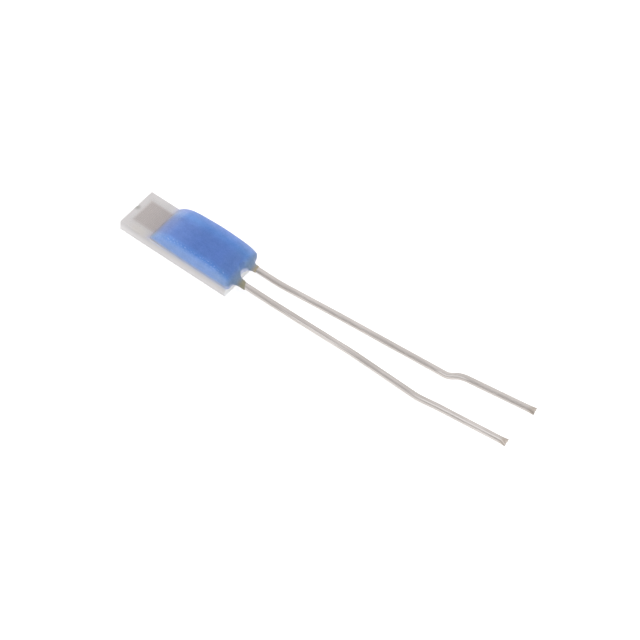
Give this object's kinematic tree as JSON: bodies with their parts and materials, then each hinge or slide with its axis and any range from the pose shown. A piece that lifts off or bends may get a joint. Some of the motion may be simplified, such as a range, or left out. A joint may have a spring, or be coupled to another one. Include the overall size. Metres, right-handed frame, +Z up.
{
  "type": "resistance temperature detector",
  "caption": "Thin-film platinum temperature sensor: a flat ceramic chip with a platinum track under glass, bare wire leads and a blue glass bead over the welds.",
  "frame": {"origin": "middle of the ceramic chip's flat back, between its four lower edges", "axes": "+X along the chip towards the lead ends, +Y across it, +Z up, away from the flat back"},
  "size_m": [0.0132, 0.0021, 0.001],
  "materials": {
    "alumina": "matt fired alumina",
    "platinum_film": "dull grey metal film",
    "pad_metal": "dull printed metal",
    "cover_glass": "thin frosted film",
    "blue_glass": "satin, almost opaque",
    "lead_metal": "bright drawn wire"
  },
  "bodies": {
    "root": {"ceramic_substrate": "alumina", "platinum_meander": "platinum_film", "bond_pad_near": "pad_metal", "bond_pad_far": "pad_metal", "cover_glass": "cover_glass", "fixing_bead": "blue_glass", "lead_wire_near": "lead_metal", "lead_wire_far": "lead_metal"}
  },
  "joints": []
}
